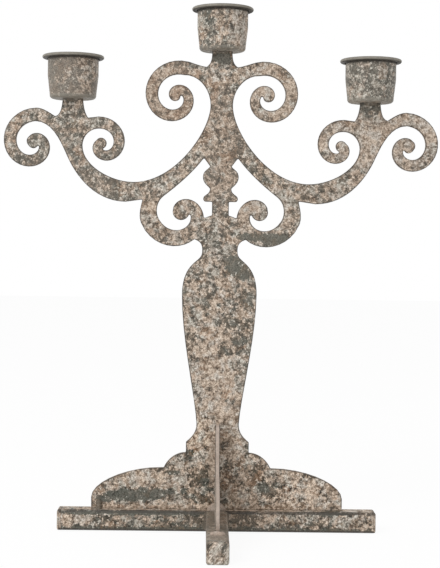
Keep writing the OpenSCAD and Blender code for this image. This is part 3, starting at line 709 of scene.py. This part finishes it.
def bead_tree():
    """Nodes that lay weld metal along paths: overlapping lumps, melted into one skin."""
    tree = bpy.data.node_groups.new("lay weld beads", "GeometryNodeTree")
    for label, kind in (("Geometry", "NodeSocketGeometry"), ("Ripple pitch", "NodeSocketFloat"),
                        ("Skin", "NodeSocketFloat"), ("Unevenness", "NodeSocketFloat"),
                        ("Seed", "NodeSocketInt"), ("Finish", "NodeSocketMaterial")):
        tree.interface.new_socket(label, in_out="INPUT", socket_type=kind)
    tree.interface.new_socket("Geometry", in_out="OUTPUT", socket_type="NodeSocketGeometry")
    given = add(tree, "NodeGroupInput").outputs
    path = add(tree, "GeometryNodeMeshToCurve", {0: given["Geometry"]}).outputs[0]
    lumps = add(tree, "GeometryNodeCurveToPoints", {"Curve": path, "Length": given["Ripple pitch"]},
                mode="LENGTH").outputs[0]
    size = add(tree, "GeometryNodeInputNamedAttribute", {"Name": "size"}, data_type="FLOAT").outputs[0]
    chance = add(tree, "FunctionNodeRandomValue", {
        2: LEAST_LUMP, 3: MOST_LUMP, "Seed": given["Seed"]}, data_type="FLOAT").outputs[1]
    radius = add(tree, "ShaderNodeMath", {0: size, 1: chance}, operation="MULTIPLY").outputs[0]
    cloud = add(tree, "GeometryNodePointsToVolume", {
        "Points": lumps, "Radius": radius, "Voxel Size": given["Skin"]}, resolution_mode="VOXEL_SIZE")
    skin = add(tree, "GeometryNodeVolumeToMesh", {
        "Volume": cloud.outputs[0], "Voxel Size": given["Skin"], "Threshold": LUMP_THRESHOLD},
        resolution_mode="VOXEL_SIZE").outputs[0]
    place = add(tree, "GeometryNodeInputPosition").outputs[0]
    noise = add(tree, "ShaderNodeTexNoise", {"Vector": place, **LUMP_NOISE}).outputs["Fac"]
    swell = add(tree, "ShaderNodeMath", {0: noise, 1: 0.5}, operation="SUBTRACT").outputs[0]
    swell = add(tree, "ShaderNodeMath", {0: swell, 1: given["Unevenness"]},
                operation="MULTIPLY").outputs[0]
    normal = add(tree, "GeometryNodeInputNormal").outputs[0]
    push = add(tree, "ShaderNodeVectorMath", {0: normal, "Scale": swell}, operation="SCALE").outputs[0]
    shaped = add(tree, "GeometryNodeSetPosition", {"Geometry": skin, "Offset": push}).outputs[0]
    real = add(tree, "GeometryNodeRealizeInstances", {0: shaped}).outputs[0]
    done = add(tree, "GeometryNodeSetMaterial", {"Geometry": real, "Material": given["Finish"]})
    add(tree, "NodeGroupOutput", {0: done.outputs[0]})
    return tree


def grown(name, mesh, tree, inputs):
    """A piece that a node tree makes from a mesh of points and edges, as a plain mesh."""
    holder = link(mesh, name + "_holder")
    modifier = holder.modifiers.new("grow", "NODES")
    modifier.node_group = tree
    for key, value in inputs.items():
        modifier[socket_of(tree, key)] = value
    bpy.context.view_layer.update()
    graph = bpy.context.evaluated_depsgraph_get()
    made = bpy.data.meshes.new_from_object(holder.evaluated_get(graph))
    bpy.data.objects.remove(holder)
    work = bmesh.new()
    work.from_mesh(made)
    bmesh.ops.recalc_face_normals(work, faces=work.faces)
    for face in work.faces:
        face.smooth = True
    work.to_mesh(made)
    work.free()
    made.set_sharp_from_angle(angle=CREASE)
    return link(made, name)


def chain(name, *paths):
    """A mesh of open paths. Each path is a size and its points in millimetres."""
    points, edges, sizes = [], [], []
    for size, *path in paths:
        edges += [(len(points) + i, len(points) + i + 1) for i in range(len(path) - 1)]
        points += [Vector(p) * MM for p in path]
        sizes += [size * MM] * len(path)
    mesh = bpy.data.meshes.new(name)
    mesh.from_pydata(points, edges, [])
    mesh.attributes.new("size", "FLOAT", "POINT").data.foreach_set("value", sizes)
    return mesh


# Operators


class CANDLESTICK_OT_sheets(bpy.types.Operator):
    """Cuts the upright sheet and its two fins"""

    bl_idname = "candlestick.sheets"
    bl_label = "Sheets"

    def execute(self, context):
        settings = context.scene.candlestick_sheet
        # Laser-cut mild steel under distressed chalk paint: matt, ragged beige over umber grey
        paint = painted_metal("distressed chalk paint on laser-cut steel", contrast=0.99,
                              patches=SHEET_PATCHES, even="wall", worn="worn")
        settle(cut_sheet("scroll_plate", "scrolled_sheet", 1, paint, settings),
               "scrolled_sheet", "scroll_plate")
        # The same on the fins, whose cut walls have a lighter even coat
        fin_paint = painted_metal("distressed chalk paint on the fins", (0.31, 0.12, 0.4), 0.04,
                                  even="wall", worn="worn", even_tone="#bbab9e")
        for node in ("front_fin", "rear_fin"):
            settle(cut_sheet(node, node + "_sheet", 0, fin_paint, settings), "scrolled_sheet", node)
        return {"FINISHED"}


# Tilt and stretch of the brush strokes on the fore-and-aft bars and on their caps
CROSSWISE, ASLANT = (0, (1.8, 1, 1)), (35, (1, 1, 1.9))
# Each piece of the base: the axis that it runs along, how bare its corners are, the shift of its
# pattern, its bias and contrast, its patches and its brush strokes
BASE_PIECES = (
    ("long_base_bar", 0, 0.78, (0.7, 0.3, 0.1), -0.01, 1.12, BAR_PATCHES, None),
    ("front_base_bar", 1, 0.5, (0.2, 0.5, 0.4), -0.02, 0.8, BAR_TOP_PATCHES, CROSSWISE),
    ("rear_base_bar", 1, 0.5, (0.4, 0.9, 0.3), -0.03, 0.8, (), CROSSWISE),
    ("left_end_cap", 0, 0.85, (0.1, 0.4, 0.8), 0.04, 1.0, (), None),
    ("right_end_cap", 0, 0.85, (0.6, 0.2, 0.9), 0.04, 1.0, (), None),
    ("front_end_cap", 1, 0.7, (0.8, 0.6, 0.5), 0.04, 1.08, (), ASLANT),
    ("rear_end_cap", 1, 0.7, (0.3, 0.7, 0.6), 0.04, 1.08, (), ASLANT),
)


class CANDLESTICK_OT_base(bpy.types.Operator):
    """Paints the cross of square tube and its end caps"""

    bl_idname = "candlestick.base"
    bl_label = "Base cross"

    def execute(self, context):
        for node, lengthwise, wear, shift, bias, contrast, patches, strokes in BASE_PIECES:
            # Square steel tube under the same paint, its corners rubbed dark
            paint = painted_metal(f"distressed chalk paint on {node.replace('_', ' ')}", shift, bias,
                                  contrast, patches, on_top=patches is BAR_TOP_PATCHES, worn="worn",
                                  strokes=strokes)
            settle(merged_copy(node, node + "_painted", paint, lengthwise, wear), "base_tube", node)
        return {"FINISHED"}


# Bias and contrast of each cup's paint, from left to right
CUP_BIAS, CUP_CONTRAST = (-0.06, 0.0, 0.0), (0.6, 1.0, 0.9)


class CANDLESTICK_OT_cups(bpy.types.Operator):
    """Spins the three drawn cups with their folded rims"""

    bl_idname = "candlestick.cups"
    bl_label = "Candle cups"

    def execute(self, context):
        settings = context.scene.candlestick_cup
        profile = cup_profile(settings)
        tree = spin_tree()
        edges = [(i, i + 1) for i in range(len(profile) - 1)]
        for number, (node, bias, contrast) in enumerate(zip(CUPS, CUP_BIAS, CUP_CONTRAST)):
            # Drawn steel cup under the same paint, its rim an even olive grey, with painted shade under
            # the rim
            paint = painted_metal(f"distressed chalk paint on {node.replace('_', ' ')}",
                                  (0.5 + number, 0.2, 0.6), bias, contrast, CUP_PATCHES,
                                  even="even", worn="worn", even_tone="#8a857a")
            section = bpy.data.meshes.new(node + "_section")
            section.from_pydata([(r, 0, z) for r, z, even, worn in profile], edges, [])
            for column, mark in ((2, "even"), (3, "worn")):
                section.attributes.new(mark, "FLOAT", "POINT").data.foreach_set(
                    "value", [row[column] for row in profile])
            piece = grown(node + "_drawn", section, tree, {
                "Segments": settings.segments, "Seat": seat_of(node), "Finish": paint})
            settle(piece, "candle_cup", node)
        return {"FINISHED"}


# Radius of each kind of bead and how far it reaches, in millimetres
CUP_BEAD, CUP_BEAD_REACH = 1.15, 1.9  # to each side of the neck's middle
PLATE_TACK, PLATE_TACK_INSET = 1.5, 3.8  # in from the sheet's toe
ROOT_TACK, ROOT_TACK_REACH, ROOT_TACK_RISE = 1.9, 2.6, 1.4  # out from the corner, and up in it
TOE_TACK, TOE_TACK_REACH = 1.5, 2  # to each side of the bar's middle
JOINT_BEAD, JOINT_BEAD_MARGIN = 1.2, 2  # short of the bar's upper and lower face
WELD_UNEVENNESS = 0.35 * MM  # from the dips to the peaks of a bead's finer lumps
WELD_EVENNESS = 0.7  # how far the even coat hides the pattern on a weld


class CANDLESTICK_OT_welds(bpy.types.Operator):
    """Lays the weld beads and tacks"""

    bl_idname = "candlestick.welds"
    bl_label = "Welds"

    def execute(self, context):
        settings = context.scene.candlestick_weld
        # Weld metal under a thin coat: lumpy, brown grey, with little chalk on it
        thin = painted_metal("thin paint on weld metal", (0.9, 0.8, 0.2), -0.12,
                             even_tone="#625749", evenness=WELD_EVENNESS)
        # Weld metal of the fins under a fuller coat, as light as the sheet beside it
        full = painted_metal("distressed chalk paint on weld metal", (0.7, 0.9, 0.5), -0.04,
                             even_tone="#b8a698", evenness=WELD_EVENNESS)
        finishes = {"fin_root_welds": full, "fin_toe_welds": full}
        tree = bead_tree()
        face = SHEET_HIGH.y / MM
        top = BAR_HIGH.z / MM
        side = BAR_HIGH.y / MM
        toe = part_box("rear_fin")[1].y / MM
        seats = [(x / MM, z / MM) for x, y, z in map(seat_of, CUPS)]
        flip = (1, -1)
        # The beads of each node: a radius and the points of a path, in millimetres
        laid = {
            "cup_weld_beads": [
                (CUP_BEAD, (x - CUP_BEAD_REACH, s * face, z - 0.1),
                 (x + CUP_BEAD_REACH, s * face, z - 0.1)) for x, z in seats for s in flip],
            "plate_toe_welds": [
                (PLATE_TACK, (s * PLATE_TACK_INSET - s * toe, -s * (face - 0.1), top + 2.9),
                 (s * PLATE_TACK_INSET - s * toe, -s * (face + 0.2), top + 0.4),
                 (s * PLATE_TACK_INSET - s * toe, -s * (face + 1.4), top - 0.3)) for s in flip],
            "fin_root_welds": [
                (ROOT_TACK, (x * ROOT_TACK_REACH, y * face, top + 0.2),
                 (x * face, y * face, top + ROOT_TACK_RISE),
                 (x * face, y * ROOT_TACK_REACH, top + 0.2)) for x in flip for y in flip],
            "fin_toe_welds": [
                (TOE_TACK, (-TOE_TACK_REACH, s * (toe + 0.5), top + 0.1),
                 (TOE_TACK_REACH, s * (toe + 0.5), top + 0.1)) for s in flip],
            "base_joint_welds": [
                (JOINT_BEAD, (x * side, y * side, JOINT_BEAD_MARGIN),
                 (x * side, y * side, top - JOINT_BEAD_MARGIN)) for x in flip for y in flip],
        }
        for node, paths in laid.items():
            piece = grown(node + "_laid", chain(node + "_paths", *paths), tree, {
                "Ripple pitch": settings.ripple, "Skin": settings.skin, "Seed": settings.seed,
                "Unevenness": WELD_UNEVENNESS, "Finish": finishes.get(node, thin)})
            settle(piece, "weld_metal", node)
        return {"FINISHED"}


WHITE = (1, 1, 1, 1)
FLOOR_HALF = 3.0  # half the floor's side in metres
FLOOR_GLOW = 0.9  # how far the floor is plain white to the eye; the rest shows the shadow
FLOOR_WHITE = 1.02  # strength of that white, over 1 because the rest is darker
LAMP_SIZE, LAMP_PLACE, LAMP_TARGET = 0.7, (-0.7, -0.9, 0.9), (0, 0, 0.12)
# The photo's camera: its focal length and the picture's longer side in pixels, where it stands in
# metres, and how it is turned in degrees
FOCAL_PIXELS, PICTURE_PIXELS = 1415.8, 568
SENSOR = 36.0  # width of the sensor in millimetres
NEAREST, FARTHEST = 0.05, 20  # the camera's range in metres
EYE_PLACE = (-0.00724, -0.6753, 0.1362)
YAW, PITCH, ROLL = (math.radians(a) for a in (-0.638, 1.545, -0.75))


def seen(tree):
    """A socket that is 1 on the rays by which the eye sees a thing, and 0 on rays of light."""
    rays = add(tree, "ShaderNodeLightPath").outputs
    direct = add(tree, "ShaderNodeMath", {0: rays["Is Camera Ray"], 1: rays["Is Glossy Ray"]},
                 operation="MAXIMUM").outputs[0]
    return add(tree, "ShaderNodeMath", {0: direct, 1: rays["Is Transmission Ray"]},
               operation="MAXIMUM").outputs[0]


def studio_floor(settings):
    """A white floor that keeps the model's shadow."""
    half, ground = FLOOR_HALF, CAD_LOW.z
    mesh = bpy.data.meshes.new("studio_floor")
    mesh.from_pydata([(-half, -half, ground), (half, -half, ground), (half, half, ground),
                      (-half, half, ground)], [], [(0, 1, 2, 3)])
    floor = link(mesh, "studio_floor")
    # Matt white paper that fades into the background
    material = bpy.data.materials.new("white studio floor")
    material.use_nodes = True
    tree = material.node_tree
    tree.nodes.clear()
    share = add(tree, "ShaderNodeMath", {0: seen(tree), 1: FLOOR_GLOW}, operation="MULTIPLY")
    matt = add(tree, "ShaderNodeBsdfDiffuse", {"Color": colour(settings.floor)})
    white = add(tree, "ShaderNodeEmission", {"Color": WHITE, "Strength": FLOOR_WHITE})
    mixed = add(tree, "ShaderNodeMixShader", {
        0: share.outputs[0], 1: matt.outputs[0], 2: white.outputs[0]})
    add(tree, "ShaderNodeOutputMaterial", {"Surface": mixed.outputs[0]})
    mesh.materials.append(material)


def studio_room(scene, settings):
    """Light from all round, and a white background."""
    world = bpy.data.worlds.new("studio")
    scene.world = world
    world.use_nodes = True
    tree = world.node_tree
    tree.nodes.clear()
    room = add(tree, "ShaderNodeBackground", {"Color": WHITE, "Strength": settings.sky})
    white = add(tree, "ShaderNodeBackground", {"Color": WHITE, "Strength": 1.0})
    mixed = add(tree, "ShaderNodeMixShader", {
        0: seen(tree), 1: room.outputs[0], 2: white.outputs[0]})
    add(tree, "ShaderNodeOutputWorld", {"Surface": mixed.outputs[0]})


def key_lamp(settings):
    """A large soft lamp in front, above and to the left."""
    lamp = bpy.data.lights.new("key", "AREA")
    lamp.shape = "DISK"
    lamp.size = LAMP_SIZE
    lamp.energy = settings.key
    key = link(lamp, "key")
    key.location = LAMP_PLACE
    aim = Vector(LAMP_TARGET) - key.location
    key.rotation_euler = aim.to_track_quat("-Z", "Y").to_euler()


def photo_camera(scene):
    """The camera of the photo."""
    camera = bpy.data.cameras.new("camera")
    camera.sensor_width = SENSOR
    camera.lens = SENSOR * FOCAL_PIXELS / PICTURE_PIXELS
    camera.clip_start = NEAREST
    camera.clip_end = FARTHEST
    eye = link(camera, "camera")
    right = Vector((math.cos(YAW), math.sin(YAW), 0))
    ahead = Vector((-math.sin(YAW), math.cos(YAW), 0))
    up = Vector((0, 0, 1))
    ahead, up = (ahead * math.cos(PITCH) - up * math.sin(PITCH),
                 up * math.cos(PITCH) + ahead * math.sin(PITCH))
    right, up = (right * math.cos(ROLL) - up * math.sin(ROLL),
                 up * math.cos(ROLL) + right * math.sin(ROLL))
    turn = Matrix((right, up, -ahead)).transposed().to_4x4()
    eye.matrix_world = Matrix.Translation(EYE_PLACE) @ turn
    scene.camera = eye


class CANDLESTICK_OT_stage(bpy.types.Operator):
    """Sets the floor, the lights and the camera"""

    bl_idname = "candlestick.stage"
    bl_label = "Stage"

    def execute(self, context):
        scene = context.scene
        settings = scene.candlestick_stage
        studio_floor(settings)
        studio_room(scene, settings)
        key_lamp(settings)
        photo_camera(scene)
        scene.view_settings.view_transform = "Standard"
        return {"FINISHED"}


class VIEW3D_PT_candlestick(bpy.types.Panel):
    """The settings, and a button for each group of pieces"""

    bl_label = "Candlestick"
    bl_space_type = "VIEW_3D"
    bl_region_type = "UI"
    bl_category = "Candlestick"

    def draw(self, context):
        for group in GROUPS:
            box = self.layout.box()
            box.label(text=group.__doc__)
            settings = getattr(context.scene, GROUPS[group])
            for name in group.__annotations__:
                box.prop(settings, name)
        for operator in OPERATORS:
            self.layout.operator(operator.bl_idname)


GROUPS = {
    SheetSettings: "candlestick_sheet",
    CupSettings: "candlestick_cup",
    WeldSettings: "candlestick_weld",
    PaintSettings: "candlestick_paint",
    StageSettings: "candlestick_stage",
}
OPERATORS = (
    CANDLESTICK_OT_sheets,
    CANDLESTICK_OT_base,
    CANDLESTICK_OT_cups,
    CANDLESTICK_OT_welds,
    CANDLESTICK_OT_stage,
)


def register():
    for group, name in GROUPS.items():
        bpy.utils.register_class(group)
        setattr(bpy.types.Scene, name, PointerProperty(type=group))
    for item in (*OPERATORS, VIEW3D_PT_candlestick):
        bpy.utils.register_class(item)


def unregister():
    for item in (VIEW3D_PT_candlestick, *reversed(OPERATORS)):
        bpy.utils.unregister_class(item)
    for group, name in GROUPS.items():
        delattr(bpy.types.Scene, name)
        bpy.utils.unregister_class(group)


def main():
    register()
    for operator in OPERATORS:
        group, name = operator.bl_idname.split(".")
        getattr(getattr(bpy.ops, group), name)()


if __name__ == "__main__":
    main()
